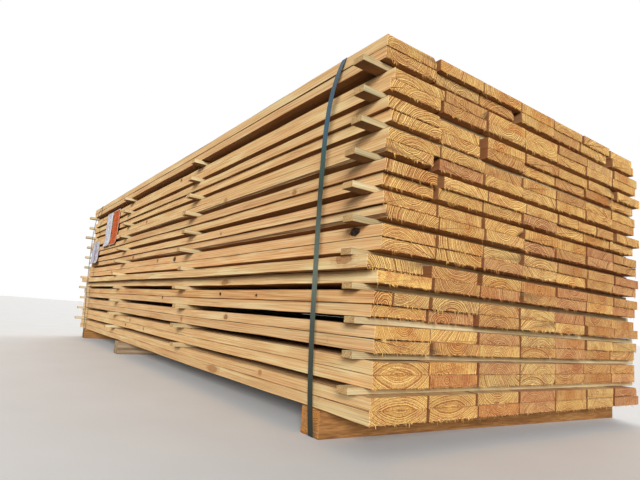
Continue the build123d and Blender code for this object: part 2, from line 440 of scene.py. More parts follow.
def wood_look(chance, wide, high, tones, pitch, cores=(0.0,)):
    """Where the heart of the log lies for one piece, its ring width, boldness and tone."""
    # A draw below the first is flat-sawn, below the second has the heart in, or is rift-sawn.
    flat_sawn, with_heart = 0.74, 0.84
    # How far the heart line leans in each metre, and how many metres apart pieces may lie in
    # the pattern of the wood, so that no two of them look alike.
    most_lean_across, most_lean_up, most_apart = 0.008, 0.004, 40
    darkest, lightest = 0.93, 1.04
    kind = chance.random_sample()
    side = chance.choice([-1, 1])
    # The heart lies over or under the piece, inside it, or off to one side of it.
    if kind < flat_sawn:
        across = wide * chance.uniform(0.25, 0.75)
        up = high * (0.5 + side * chance.uniform(0.9, 3.5))
    elif kind < with_heart:
        across = wide * chance.uniform(0.3, 0.7)
        up = high * chance.uniform(0.1, 0.9)
    else:
        across = wide * (0.5 + side * chance.uniform(0.5, 1.0))
        up = high * (0.5 + chance.choice([-1, 1]) * chance.uniform(1.5, 4.0))
    return {
        "across": across, "up": up,
        "lean": (chance.uniform(-most_lean_across, most_lean_across),
                 chance.uniform(-most_lean_up, most_lean_up)),
        "pitch": chance.uniform(*pitch), "bold": chance.uniform(0.7, 1.0),
        "core": chance.choice(cores),
        "offset": chance.uniform(0, most_apart, 3),
        "tone": np.array(tones[chance.randint(len(tones))]) * chance.uniform(darkest, lightest),
    }


# A map range with this runs softly from its low end to its high one.
eased = {"interpolation_type": "SMOOTHSTEP"}


def uneven(tree, grain, along_mm, across_mm, detail=2.0):
    """Unevenness of that size along and across the piece's own grain."""
    scale = (1000 / along_mm, 1000 / across_mm, 1000 / across_mm)
    stretched = node(tree, "VectorMath", (grain, scale), operation="MULTIPLY")[0]
    return node(tree, "TexNoise", {"Vector": stretched, "Scale": 1.0, "Detail": detail})


def stained(tree, face, stains):
    """Lays patches of other colours on a face: each one's source, low, high, most, colour."""
    for source, low, high, most, colour in stains:
        share = node(tree, "MapRange", (source, low, high, 0.0, most), **eased)[0]
        face = node(tree, "Mix", {0: share, 6: face, 7: linear(colour)}, data_type="RGBA")[2]
    return face


def nearest_knot(tree, grain, logged):
    """How near a knot is, in its own radii: a logged one, or one of those scattered about.

    The scattered ones are about one to a metre of board and 3 to 25 mm high.
    """
    apart_mm, unstretch = (600, 140, 140), (1.0, 0.14, 0.14)
    least_radius, most_radius = 0.0015, 0.013
    spots = node(tree, "VectorMath", (grain, [1000 / size for size in apart_mm]),
                 operation="MULTIPLY")[0]
    cell = node(tree, "TexVoronoi", {"Vector": spots, "Scale": 1.0})
    away = node(tree, "VectorMath", (spots, cell["Position"]), operation="SUBTRACT")[0]
    away = node(tree, "VectorMath", (away, unstretch), operation="MULTIPLY")[0]
    away = node(tree, "VectorMath", (away,), operation="LENGTH")["Value"]
    draw = node(tree, "SeparateColor", (cell["Color"],))[0]
    radius = node(tree, "MapRange", (draw, 0.45, 1.0, least_radius, most_radius), **eased)[0]
    away = node(tree, "Math", (away, radius), operation="DIVIDE")[0]
    away = node(tree, "Math", (away, logged), operation="MINIMUM")[0]
    wobble = node(tree, "MapRange", (uneven(tree, grain, 17, 17)[0], 0.2, 0.8, 0.75, 1.25),
                  **eased)[0]
    return node(tree, "Math", (away, wobble), operation="MULTIPLY")[0]


def growth_rings(tree, grain, ring, knot, pitch, bold):
    """The way out from the heart line, how late in its year the wood is, and that in bold."""
    # The rings are bent by the tree's unevenness, along and across in mm and by how much.
    for along_mm, across_mm, amount in ((1100, 125, 0.018), (400, 18, 0.0048)):
        bend = node(tree, "VectorMath",
                    (uneven(tree, grain, along_mm, across_mm)["Color"], (0.5, 0.5, 0.5)),
                    operation="SUBTRACT")[0]
        ring = node(tree, "VectorMath", (bend, (0.0, amount, amount), ring),
                    operation="MULTIPLY_ADD")[0]
    ring = node(tree, "VectorMath", (ring, (0.0, 1.0, 1.0)), operation="MULTIPLY")[0]
    out = node(tree, "VectorMath", (ring,), operation="LENGTH")["Value"]
    # They swell by 10 mm round knots, and no two years are equally wide.
    swell = node(tree, "MapRange", (knot, 2.6, 0.8), **eased)[0]
    out = node(tree, "Math", (swell, 0.010, out), operation="MULTIPLY_ADD")[0]
    years = node(tree, "Math", (out, pitch), operation="DIVIDE")[0]
    weather = node(tree, "TexNoise", {"W": years, "Scale": 0.45, "Detail": 1.0},
                   noise_dimensions="1D")[0]
    years = node(tree, "Math", (weather, 1.6, years), operation="MULTIPLY_ADD")[0]
    season = node(tree, "Math", (years,), operation="FRACT")[0]
    shades = ((0.0, 0.0), (0.20, 0.0), (0.46, 0.35), (0.66, 1.0), (0.94, 1.0), (1.0, 0.0))
    late = node(tree, "ValToRGB", (season,),
                stops=[(level, (shade, shade, shade, 1)) for level, shade in shades])[0]
    year = node(tree, "Math", (years,), operation="FLOOR")[0]
    growth = node(tree, "TexWhiteNoise", {"W": year}, noise_dimensions="1D")[0]
    growth = node(tree, "MapRange", (growth, 0.0, 1.0, 0.65, 1.0), **eased)[0]
    strong = node(tree, "Math", (late, growth), operation="MULTIPLY")[0]
    strong = node(tree, "Math", (strong, bold), operation="MULTIPLY")[0]
    return out, late, strong


def side_colour(tree, grain, strong, light, dark, cream, stain):
    """Along the sides: late wood on early wood, pale and brown bands, dark hairlines, checks."""
    share = node(tree, "Math", (strong, 0.5), operation="MULTIPLY")[0]
    face = node(tree, "Mix", {0: share, 6: linear(light), 7: linear(dark)}, data_type="RGBA")[2]
    bands = uneven(tree, grain, 380, 42, 3.0)[0]
    hairlines = uneven(tree, grain, 290, 4.8)[0]
    checks = uneven(tree, grain, 200, 2.4, 1.0)[0]
    return stained(tree, face, (
        (bands, 0.50, 0.68, 0.75, cream), (bands, 0.46, 0.30, 0.55, stain),
        (hairlines, 0.58, 0.76, 0.45, "#7c5129"), (checks, 0.71, 0.78, 0.6, "#5d3819"),
    ))


def end_colour(tree, grain, late, strong, bold, pits, light_end, brown_end, dark_end):
    """On the ends: bold rings in golden and browner patches, dark pits and pale tufts."""
    patches = uneven(tree, grain, 170, 45)[0]
    face = stained(tree, linear(light_end), ((patches, 0.40, 0.66, 1.0, brown_end),))
    early = node(tree, "MapRange", (late, 0.25, 0.0, 0.0, 0.75), **eased)[0]
    early = node(tree, "Math", (early, bold), operation="MULTIPLY")[0]
    for share, colour in ((early, "#ffde9a"), (strong, dark_end)):
        face = node(tree, "Mix", {0: share, 6: face, 7: linear(colour)}, data_type="RGBA")[2]
    speckle = uneven(tree, grain, 17, 5.3, 1.0)[0]
    return stained(tree, face, (
        (pits, 0.58, 0.76, 0.45, "#6f3d14"), (pits, 0.42, 0.26, 0.45, "#fbdb98"),
        (speckle, 0.58, 0.74, 0.3, "#824716"), (speckle, 0.42, 0.26, 0.3, "#ffe1a2"),
    ))


def painted_shade_and_browned_arrises(tree, grain, place, facing, ends, thickness):
    """How much browner the wood is: in patches along the arrises, and in painted shade below and
    between boards.

    Painted shade darkens the undersides, the sides that lie against a neighbour and the rims of a
    cut end beside them; upper faces get none.
    """
    reach, over, up = node(tree, "SeparateXYZ", (place,))
    back = node(tree, "Math", (reach, over), operation="SUBTRACT")[0]
    over = node(tree, "Math", (over, back), operation="MINIMUM")[0]
    # Browner in patches along the arrises, except above, and painted shade on the underside.
    edge = node(tree, "Math", (up, thickness / 2), operation="SUBTRACT")[0]
    edge = node(tree, "Math", (edge,), operation="ABSOLUTE")[0]
    edge = node(tree, "Math", (uneven(tree, grain, 110, 11)[0], 0.005, edge),
                operation="MULTIPLY_ADD")[0]
    edge = node(tree, "MapRange",
                (edge, thickness / 2 - 0.0002, thickness / 2 + 0.0026, 0.0, 0.6), **eased)[0]
    patchy = node(tree, "MapRange", (uneven(tree, grain, 140, 80)[0], 0.35, 0.6, 0.2, 1.0),
                  **eased)[0]
    edge = node(tree, "Math", (edge, patchy), operation="MULTIPLY")[0]
    not_above = node(tree, "MapRange", (facing[2], 0.9, 0.3), **eased)[0]
    edge = node(tree, "Math", (edge, not_above), operation="MULTIPLY")[0]
    painted_underside_shade = node(tree, "MapRange", (facing[2], -0.3, -0.9, 0.0, 0.75), **eased)[0]
    edge = node(tree, "Math", (edge, painted_underside_shade), operation="MAXIMUM")[0]
    # Painted shade in the joints: up both sides of a cut end, and on the sides that lie against a
    # neighbour.
    painted_joint_shade = node(tree, "MapRange", (over, 0.0034, 0.0006, 0.0, 0.8), **eased)[0]
    painted_joint_shade = node(tree, "Math", (ends, painted_joint_shade), operation="MULTIPLY")[0]
    edge = node(tree, "Math", (edge, painted_joint_shade), operation="MAXIMUM")[0]
    sides = node(tree, "Math", (facing[1],), operation="ABSOLUTE")[0]
    sides = node(tree, "MapRange", (sides, 0.5, 0.8), **eased)[0]
    painted_side_shade = node(tree, "MapRange", (over, 0.008, 0.005, 0.0, 0.85), **eased)[0]
    painted_side_shade = node(tree, "Math", (sides, painted_side_shade), operation="MULTIPLY")[0]
    return node(tree, "Math", (edge, painted_side_shade), operation="MAXIMUM")[0]


def with_knots(tree, grain, wood, knot, inside, darkness):
    """The wood with its knots: amber or nearly black, with a darker rim."""
    radians_in_radius = 17.0  # nearly three rings from a knot's heart to its rim
    circles = node(tree, "Math", (knot, radians_in_radius), operation="MULTIPLY")[0]
    circles = node(tree, "Math", (circles,), operation="SINE")[0]
    amber = stained(tree, linear("#bb7f4b"), ((circles, -1.0, 1.0, 1.0, "#9a6238"),))
    crazed = uneven(tree, grain, 9, 9)[0]
    black = stained(tree, linear("#5d3b23"), ((crazed, 0.22, 0.48, 1.0, "#1c100a"),))
    centre = node(tree, "Mix", {0: darkness, 6: amber, 7: black}, data_type="RGBA")[2]
    rim = node(tree, "Mix", {0: darkness, 6: linear("#84502c"), 7: linear("#3a2214")},
               data_type="RGBA")[2]
    at_rim = node(tree, "MapRange", (knot, 0.75, 1.0, 0.0, 0.8), **eased)[0]
    centre = node(tree, "Mix", {0: at_rim, 6: centre, 7: rim}, data_type="RGBA")[2]
    halo = node(tree, "MapRange", (knot, 2.0, 1.0), **eased)[0]
    halo = node(tree, "Math", (halo, 0.3), operation="MULTIPLY")[0]
    wood = node(tree, "Mix", {0: halo, 6: wood, 7: linear("#b1733f")}, data_type="RGBA")[2]
    plain = node(tree, "MapRange", (darkness, 0.0, 0.6, 0.65, 1.0), **eased)[0]
    share = node(tree, "Math", (inside, plain), operation="MULTIPLY")[0]
    return node(tree, "Mix", {0: share, 6: wood, 7: centre}, data_type="RGBA")[2]


def sawn_softwood(name, along, thickness, light, dark, cream, stain, light_end, brown_end,
                  dark_end):
    """Sawn softwood: one solid grain, so that rings on the ends run on as lines on the sides."""
    made, tree, shader = new_material(name)
    grain, ring, place, tone, marks, knots = (
        node(tree, "Attribute", attribute_name=key)["Vector"]
        for key in ("grain", "ring", "place", "tone", "marks", "knot"))
    pitch, bark, bold = node(tree, "SeparateXYZ", (marks,))
    logged, darkness, core = node(tree, "SeparateXYZ", (knots,))
    normal = node(tree, "NewGeometry")["Normal"]
    facing = node(tree, "SeparateXYZ", (normal,))
    ends = node(tree, "Math", (facing[along],), operation="ABSOLUTE")[0]
    ends = node(tree, "MapRange", (ends, 0.55, 0.8), **eased)[0]
    knot = nearest_knot(tree, grain, logged)
    out, late, strong = growth_rings(tree, grain, ring, knot, pitch, bold)

    # Pits where the saw pulled fibres out: about 2 mm, drawn at 3 mm so that they show.
    pits = uneven(tree, grain, 8, 3.3)[0]
    sides = side_colour(tree, grain, strong, light, dark, cream, stain)
    cut = end_colour(tree, grain, late, strong, bold, pits, light_end, brown_end, dark_end)
    wood = node(tree, "Mix", {0: ends, 6: sides, 7: cut}, data_type="RGBA")[2]

    # The heartwood is a little redder. Fibres streak all of it: they are under 1 mm
    # across and drawn at 3 mm so that they show.
    heartwood = node(tree, "Math", (core, out), operation="SUBTRACT")[0]
    heartwood = node(tree, "Math", (heartwood, 0.022), operation="DIVIDE")[0]
    heartwood = node(tree, "MapRange", (heartwood, -1.0, 1.0), **eased)[0]
    heartwood = node(tree, "Math", (heartwood, 0.6), operation="MULTIPLY")[0]
    wood = node(tree, "Mix", {0: heartwood, 6: wood, 7: linear("#edcfb8")},
                data_type="RGBA", blend_type="MULTIPLY")[2]
    fibres = uneven(tree, grain, 330, 3, 3.0)[0]
    streaks = node(tree, "MapRange", (fibres, 0.25, 0.75), **eased)[0]
    streaks = node(tree, "CombineColor", (streaks, streaks, streaks))[0]
    wood = node(tree, "Mix", {0: 0.5, 6: wood, 7: streaks},
                data_type="RGBA", blend_type="SOFT_LIGHT")[2]
    wood = node(tree, "Mix", {0: 1.0, 6: wood, 7: tone},
                data_type="RGBA", blend_type="MULTIPLY")[2]
    # Painted shade under and between boards, and browned arrises, mixed in as one brown.
    worn = painted_shade_and_browned_arrises(tree, grain, place, facing, ends, thickness)
    wood = node(tree, "Mix", {0: worn, 6: wood, 7: linear("#703810")}, data_type="RGBA")[2]

    # Knots, and the bark left on a waney edge.
    inside = node(tree, "MapRange", (knot, 1.15, 0.82), **eased)[0]
    wood = with_knots(tree, grain, wood, knot, inside, darkness)
    skin = node(tree, "Mix", {0: uneven(tree, grain, 70, 11, 3.0)[0],
                                        6: linear("#94704b"), 7: linear("#4f3420")},
                data_type="RGBA")[2]
    barky = node(tree, "Math", (bark, 0.75), operation="MULTIPLY")[0]
    wood = node(tree, "Mix", {0: barky, 6: wood, 7: skin}, data_type="RGBA")[2]

    # Sawn relief: late wood and fibres stand proud, pits and knots lie lower.
    height = node(tree, "Math", (fibres, 0.7), operation="MULTIPLY")[0]
    height = node(tree, "Math", (strong, 0.5, height), operation="MULTIPLY_ADD")[0]
    end_pits = node(tree, "Math", (pits, ends), operation="MULTIPLY")[0]
    height = node(tree, "Math", (end_pits, -3.0, height), operation="MULTIPLY_ADD")[0]
    height = node(tree, "Math", (inside, -0.4, height), operation="MULTIPLY_ADD")[0]
    relief = node(tree, "Bump", {"Strength": 0.8, "Distance": 0.0014, "Height": height})[0]
    rough = node(tree, "MapRange", (fibres, 0.2, 0.8, 0.72, 0.92), **eased)[0]
    connect(tree, shader, {"Base Color": wood, "Roughness": rough, "Normal": relief,
                           "IOR": 1.5, "Specular IOR Level": 0.25})
    return made


# Spruce beams, sawn and left rough: orange-tan with strong rings on the cut ends.
bearer_wood = sawn_softwood(
    "sawn spruce beam", across_pack, bearer_height, light="#a06f3f", dark="#764820",
    cream="#ae814c", stain="#6e4823", light_end="#cd8336", brown_end="#ae6a33",
    dark_end="#713a10")
# The middle bearer's planks are weathered: the same wood gone pale and grey.
grey_bearer_wood = sawn_softwood(
    "weathered spruce beam", across_pack, split_bearer_upper, light="#a1876a", dark="#755e43",
    cream="#b3a186", stain="#716049", light_end="#ab9173", brown_end="#9c7f63",
    dark_end="#6d5238")
chance = np.random.RandomState(7)
for name in ("bearer_near", "bearer_middle_packing", "bearer_middle_top", "bearer_far"):
    worn = "middle" in name
    wood = WoodMesh()
    for piece in sawn_pieces(name, across_pack):
        look = wood_look(chance, bearer_width, bearer_height, bearer_tones, bearer_rings)
        look["bold"] *= 0.6
        sawn_body(wood, piece, across_pack, chance, look, bearer_steps,
                  worn_arris if worn else bearer_arris, bearer_sawing, hang=False)
    wood.finish(name + "_sawn", grey_bearer_wood if worn else bearer_wood, "bearer_wood", name)


# Boards: rough-sawn softwood planks, 38 by 225 mm, cross-cut at the mill. They lie
# loose, two courses together, and no two ends are quite in one line.

board_thickness = 0.038
board_arris = 0.0011
near_line = 2.1
board_rings = (0.0045, 0.0075)
heartwood_radii = (0.0, 0.04, 0.06, 0.09)
# How far apart sections are in a side column, on the top and inside the pack.
side_step, top_step, inner_step = 0.11, 0.16, 0.9
across_step, upright_step, knotty_step = 0.0082, 0.0095, 0.0048
side_sawing = {"thin": 0.0040, "wander": 0.003, "rough": 0.0002, "torn": 0.0048}
inner_sawing = {"thin": 0.0010, "wander": 0.001, "rough": 0.0002, "torn": 0.0048}
# The colour of each board as logged, from the lowest course up and from front to back:
# l light, n plain, o pale and less yellow, k warm, b brown, p pinkish, r reddish brown.
board_tones = {
    "l": (1.08, 1.10, 1.08), "n": (1.02, 1.0, 0.95), "o": (0.99, 1.03, 1.08),
    "k": (1.0, 0.95, 0.92), "b": (0.88, 0.80, 0.80), "p": (0.90, 0.80, 0.92),
    "r": (0.79, 0.64, 0.74),
}
board_colours = [
    "nnppnor", "nnlrbor", "npoobbp", "nlpopbb", "kblbpbb", "klpopoo", "kpbllbb", "looborbb",
    "lbpbplr", "lbnbrbb", "knpolbp", "knoobbr", "knlpbpb", "kknnnrb", "nnnplnl", "klllnnbn",
    "lpnllnb", "nnblbnn", "nlbnbbl", "nlnbnll", "nbllnln", "lbnnbol", "koblbln", "llllnnl",
]
# Knots logged on the front side: course, distance from the near end, height in the
# board, half length and half height in millimetres, and how dark from 0 to 1.
front_knots = [
    (12, 122, 22, 26, 15, 1.0), (10, 105, 26, 40, 13, 0.1), (6, 960, 18, 20, 11, 0.3),
    (16, 485, 12, 15, 9, 0.2), (17, 1090, 15, 18, 10, 0.0), (8, 1030, 20, 10, 7, 1.0),
    (8, 690, 16, 8, 6, 0.9), (1, 1040, 20, 50, 15, 0.0), (9, 1005, 14, 34, 12, 0.1),
    (22, 1830, 24, 14, 10, 0.5), (18, 2420, 22, 16, 10, 0.3),
    (7, 1840, 30, 12, 8, 0.6), (3, 2150, 20, 14, 10, 0.2), (3, 2580, 20, 12, 9, 0.6),
    (4, 2480, 20, 14, 10, 0.1), (12, 1740, 20, 20, 13, 0.9), (12, 2050, 24, 13, 9, 0.4),
    (5, 1500, 22, 14, 10, 0.1), (2, 620, 20, 12, 8, 0.0), (13, 2700, 18, 18, 11, 0.4),
    (21, 3100, 20, 16, 11, 0.3), (11, 3250, 20, 14, 10, 0.5), (14, 1130, 16, 10, 7, 0.2),
]
# Grain logged on the near ends: (course, board): the heart's place across and above the
# board's lower front corner, the ring width, how bold the rings are from 0 to 1, and the
# radius of the redder heartwood, lengths in millimetres.
end_grain = {
    (1, 1): (112, 190, 4.8, 0.8, 163), (2, 1): (112, -152, 4.8, 0.8, 163),
    (1, 2): (92, 170, 4.8, 0.8, 142), (2, 2): (92, -130, 4.8, 0.8, 142),
    (1, 3): (120, 60, 7.0, 0.5, 200), (2, 3): (105, 90, 6.0, 0.9, 60),
    (1, 5): (88, -30, 5.5, 0.9, 50), (3, 1): (100, 150, 4.8, 0.8, 124),
    (4, 1): (100, -112, 4.8, 0.8, 124), (4, 3): (110, -40, 5.0, 0.9, 0),
    (3, 2): (80, 20, 6.5, 0.6, 200), (5, 1): (115, 95, 5.0, 0.8, 70),
    (6, 1): (115, 52, 5.6, 0.6, 42), (5, 2): (110, 44, 7.0, 0.7, 40),
    (6, 3): (100, -60, 5.0, 0.9, 0), (5, 3): (100, -20, 5.0, 0.8, 0),
    (6, 4): (130, -70, 6.2, 1.0, 0), (7, 1): (130, -45, 5.0, 0.7, 0),
    (7, 3): (105, -55, 5.6, 1.0, 66), (8, 4): (100, -95, 5.6, 0.9, 0),
    (7, 5): (105, -30, 5.2, 0.9, 60), (10, 1): (-60, -60, 6.0, 1.0, 0),
    (9, 1): (-40, -160, 5.0, 0.3, 0), (10, 2): (120, 110, 6.2, 1.0, 0),
    (9, 2): (105, 70, 5.8, 0.9, 0), (10, 3): (110, -90, 6.4, 1.0, 120),
    (9, 3): (-50, -40, 6.0, 0.8, 160), (9, 5): (90, -50, 5.4, 0.9, 60),
    (12, 1): (70, -60, 5.6, 0.8, 0), (11, 1): (90, -110, 5.6, 0.9, 0),
    (12, 2): (240, 80, 6.6, 1.0, 110), (11, 2): (230, 118, 6.6, 1.0, 110),
    (14, 1): (110, 80, 5.8, 0.9, 0), (13, 1): (240, -20, 6.2, 0.9, 0),
    (14, 2): (60, -30, 5.5, 0.8, 0), (13, 2): (140, 30, 6.0, 0.9, 34),
    (13, 3): (100, 80, 5.6, 1.0, 0), (16, 1): (210, -20, 6.6, 1.0, 90),
    (15, 1): (190, -60, 6.0, 0.8, 0), (15, 3): (110, 75, 6.0, 1.0, 0),
    (18, 2): (120, -30, 5.6, 0.9, 0), (17, 2): (115, 60, 5.6, 0.9, 0),
    (18, 1): (120, -70, 5.6, 0.9, 0), (17, 1): (105, 75, 5.4, 1.0, 0),
    (18, 5): (110, 60, 6.0, 1.0, 0), (19, 2): (130, 70, 6.4, 1.0, 60),
    (20, 1): (190, -80, 6.0, 1.0, 0), (19, 1): (210, -40, 6.0, 1.0, 0),
    (20, 5): (100, -40, 5.4, 0.9, 0), (21, 3): (100, 90, 6.6, 1.0, 60),
    (22, 2): (80, 20, 5.6, 0.9, 0), (21, 2): (60, 55, 5.8, 0.9, 0),
    (22, 1): (60, -80, 6.0, 0.9, 0), (21, 1): (150, -50, 5.6, 0.9, 0),
    (22, 5): (110, -50, 5.4, 0.9, 0), (22, 6): (100, 30, 6.0, 1.0, 0),
    (21, 6): (100, 66, 6.0, 1.0, 0), (23, 1): (70, 60, 5.2, 1.0, 0),
    (24, 1): (40, -20, 5.6, 0.8, 0),
}

# Fibres that the cross-cut left hanging: widths, lengths, and how far they stand out, lean
# sideways in their lengths and start above the lower face. A few are long splinters.
fibre_wide, fibre_stand = (0.0008, 0.0034), (0.0006, 0.0035)
fibre_least, fibre_mean, fibre_most = 0.0024, 0.0066, 0.016
fibre_lean, fibre_root = 0.45, (0.001, 0.004)
splinter_share, splinter_wide, splinter_long = 0.03, 0.0007, (0.012, 0.024)
# How far apart they hang on average on the near and the far end, and at least.
near_apart, far_apart, least_apart = 0.0040, 0.012, 0.0008
# They hang in patches along the arris, and less near its corners.
patch_step, patch_waves, corner_margins = 0.01, (0.2, 0.04), (0.002, 0.006)
bleached = (1.18, 1.24, 1.24)

# Mill-sawn spruce: honey tan along the boards, golden with orange-brown rings on the ends.
board_wood = sawn_softwood(
    "mill-sawn spruce board", along_pack, board_thickness, light="#e9c08a", dark="#bb8850",
    cream="#ecd29c", stain="#d7a471", light_end="#f1bf6b", brown_end="#d79654",
    dark_end="#853f0b")


def as_logged(look, heart_across, heart_up, ring_width, bold, heartwood):
    """Gives a board its logged grain, with no lean left at the near end where it was seen."""
    look["pitch"], look["bold"], look["core"] = ring_width / 1000, bold, heartwood / 1000
    look["across"] = heart_across / 1000 - look["lean"][0] * near_line
    look["up"] = heart_up / 1000 - look["lean"][1] * near_line


def front_knots_of(course):
    """The knots logged on the front board of a course, in metres and in the pack's frame."""
    return [(near_line - back / 1000, 0.0, up / 1000, long / 1000, tall / 1000, dark)
            for at, back, up, long, tall, dark in front_knots if at == course]


def back_knots(chance, wide):
    """Up to two knots on the back side of the last board of a course."""
    return [(chance.uniform(-1.9, 1.9), wide, chance.uniform(0.01, 0.028),
             chance.uniform(0.010, 0.022), chance.uniform(0.007, 0.012), chance.uniform(0, 1))
            for _ in range(chance.randint(0, 3))]


def torn_fibres(wood, chance, piece, look, near):
    """Fibres that the cross-cut left hanging from the lower arris of one board end.

    Each is a three-sided sliver that is bent once and ends in a point.
    """
    clearance, rooted, ridge = 0.0004, 0.0008, 0.0007
    start, end, low, high = piece
    outline = high if near else low
    front, back, bottom = outline[:, 0].min(), outline[:, 0].max(), outline[:, 1].min()
    face, outwards = (end, 1) if near else (start, -1)
    room = (cad_box[1][0] if near else -cad_box[0][0]) - abs(face) - clearance
    patches = waves(chance, np.linspace(0, 0.25, 26), 1.0, *patch_waves)
    faces = [[0, 1, 2], [0, 3, 4, 1], [1, 4, 5, 2], [2, 5, 3, 0], [3, 6, 4], [4, 6, 5], [5, 6, 3]]
    if not near:
        faces = [corners[::-1] for corners in faces]
    y = front + corner_margins[0]
    while y < back - corner_margins[1]:
        patch = patches[min(len(patches) - 1, int((y - front) / patch_step))]
        wide = chance.uniform(*fibre_wide)
        long = fibre_least + patch * min(chance.exponential(fibre_mean), fibre_most)
        if chance.random_sample() < splinter_share:
            wide, long = splinter_wide, chance.uniform(*splinter_long)
        stand = min(chance.uniform(*fibre_stand), room)
        lean = chance.uniform(-fibre_lean, fibre_lean) * long
        drift = np.clip(y + lean, front, back) - y
        root = bottom + chance.uniform(*fibre_root)
        curl = chance.uniform(0.3, 1.0)
        corners = []
        for part, thick in ((0.0, 1.0), (0.5, 0.75)):
            out = face + outwards * (stand * part ** curl - rooted * (1 - part))
            middle, height = y + drift * part ** 2, root - long * part
            half = wide * thick / 2
            corners += [(out, middle - half, height), (out, middle + half, height),
                        (out - outwards * ridge, middle, height)]
        corners.append((face + outwards * stand * 0.9, y + drift, root - long))
        places = np.array(corners)
        places[:, 2] -= sag(places[:, 0])
        # To the wood material they lie amid a board, clear of its arrises and knots.
        wood.add(places, faces, grain=places + look["offset"], ring=(0, 0.001, 0.001),
                 place=(0.2, 0.1, 0.019), tone=look["tone"] * bleached, marks=(0.02, 0, 0.2),
                 knot=(4, 0, 0))
        y += chance.exponential(near_apart if near else far_apart) + least_apart


chance = np.random.RandomState(11)
for course, letters in enumerate(board_colours, start=1):
    name = f"boards_course_{course:02d}"
    wood = WoodMesh()
    boards = sawn_pieces(name, along_pack)
    for number, piece in enumerate(boards, start=1):
        wide = piece[3][:, 0].max() - piece[3][:, 0].min()
        first, last = number == 1, number == len(boards)
        knots = front_knots_of(course) if first else []
        if last:
            knots = back_knots(chance, wide)
        look = wood_look(chance, wide, board_thickness, [board_tones[letters[number - 1]]],
                         board_rings, heartwood_radii)
        if (course, number) in end_grain:
            as_logged(look, *end_grain[course, number])
        outer, on_top = first or last, course == len(board_colours)
        steps = (side_step if outer else top_step if on_top else inner_step,
                 across_step, knotty_step if knots else upright_step)
        sawn_body(wood, piece, along_pack, chance, look, steps,
                  board_arris * chance.uniform(0.3, 1.2), side_sawing if outer else inner_sawing,
                  knots, joints=(not first, not last))
        for near in (True, False):
            torn_fibres(wood, chance, piece, look, near)
    wood.finish(f"boards_{course:02d}_sawn", board_wood, "board_wood", name)


# Stickers: thin dry battens laid across every second course so that air can pass
# through. They are loose, stand out at the front and are greyer than the boards.

sticker_width, sticker_thickness = 0.050, 0.020
sticker_arris = 0.001
sticker_steps = (0.05, 0.010, 0.0065)
sticker_sawing = {"thin": 0.0004, "wander": 0.0012, "rough": 0.0002, "torn": 0.0}
sticker_rings = (0.003, 0.006)
sticker_tones = [(1.0, 1.0, 1.0), (0.95, 0.95, 0.95), (1.03, 1.0, 0.95), (0.9, 0.88, 0.85)]

# Spruce sawn thin and aired for long: pale straw going grey, with faint rings.
sticker_wood = sawn_softwood(
    "dry sticker batten", across_pack, sticker_thickness, light="#cdb88c", dark="#9c845c",
    cream="#dacda6", stain="#9a9170", light_end="#d9b27b", brown_end="#cba06c",
    dark_end="#8f663a")
chance = np.random.RandomState(23)
for level in range(1, 12):
    name = f"stickers_level_{level:02d}"
    wood = WoodMesh()
    for piece in sawn_pieces(name, across_pack):
        look = wood_look(chance, sticker_width, sticker_thickness, sticker_tones, sticker_rings)
        look["lean"] = chance.uniform(-0.3, 0.3, 2)
        look["bold"] *= 0.4
        sawn_body(wood, piece, across_pack, chance, look, sticker_steps, sticker_arris,
                  sticker_sawing)
    wood.finish(f"stickers_{level:02d}_sawn", sticker_wood, "sticker_wood", name)


# Bands: green polyester strapping, 25 mm wide, pulled round pack and bearer and
# friction-welded on top; at the front it bows out over the stickers.

pack_height = 1.22
# The band's colour at each share of the pack's height: green, with a painted pale sheen at mid
# height and a painted bluish reflection near the top.
band_colours_and_painted_reflections = (
    (0.05, "#2c352d"), (0.28, "#465148"), (0.39, "#737e72"), (0.52, "#5c6b5f"),
    (0.62, "#2f3f33"), (0.70, "#37564f"), (0.78, "#386175"), (0.97, "#374b59"),
)
wear_mm, emboss_mm = 11, 4

# Extruded and embossed polyester, half glossy with a fine grid: bottle green low down,
# with a painted pale sheen at mid height and a painted bluish reflection near the top, and small
# worn clouds.
band_plastic, tree, shader = new_material("embossed polyester strapping")
position = node(tree, "NewGeometry")["Position"]
height = node(tree, "SeparateXYZ", (position,))[2]
height = node(tree, "Math", (height, pack_height), operation="DIVIDE")[0]
green_and_painted_reflections = node(tree, "ValToRGB", (height,),
             stops=[(level, linear(shade)) for level, shade in band_colours_and_painted_reflections])[0]
dust = node(tree, "TexNoise", {"Vector": position, "Scale": 1000 / wear_mm, "Detail": 3.0})[0]
dusty = node(tree, "Mix", {0: dust, 6: linear("#c9ccc4"), 7: linear("#ffffff")},
             data_type="RGBA")[2]
shown = node(tree, "Mix", {0: 1.0, 6: green_and_painted_reflections, 7: dusty}, data_type="RGBA", blend_type="MULTIPLY")[2]
# The emboss is 1.5 mm on the real strap and drawn at 4 mm so that it shows.
grid = node(tree, "TexVoronoi", {"Vector": position, "Scale": 1000 / emboss_mm})["Distance"]
relief = node(tree, "Bump", {"Strength": 0.25, "Distance": 0.0003, "Height": grid})[0]
connect(tree, shader, {"Base Color": shown, "Normal": relief, "Roughness": 0.5, "IOR": 1.57,
                       "Specular IOR Level": 0.25})
for name in ("band_near", "band_far"):
    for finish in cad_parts[name].material_slots:
        finish.link = "OBJECT"
        finish.material = band_plastic


# Pouches: blank A4 sheets in thin clear film, stapled to the front side near their
# upper corners, their lower edges loose and standing off; one paper is orange.

pouch_rim = 0.007
pouch_film = 0.0012
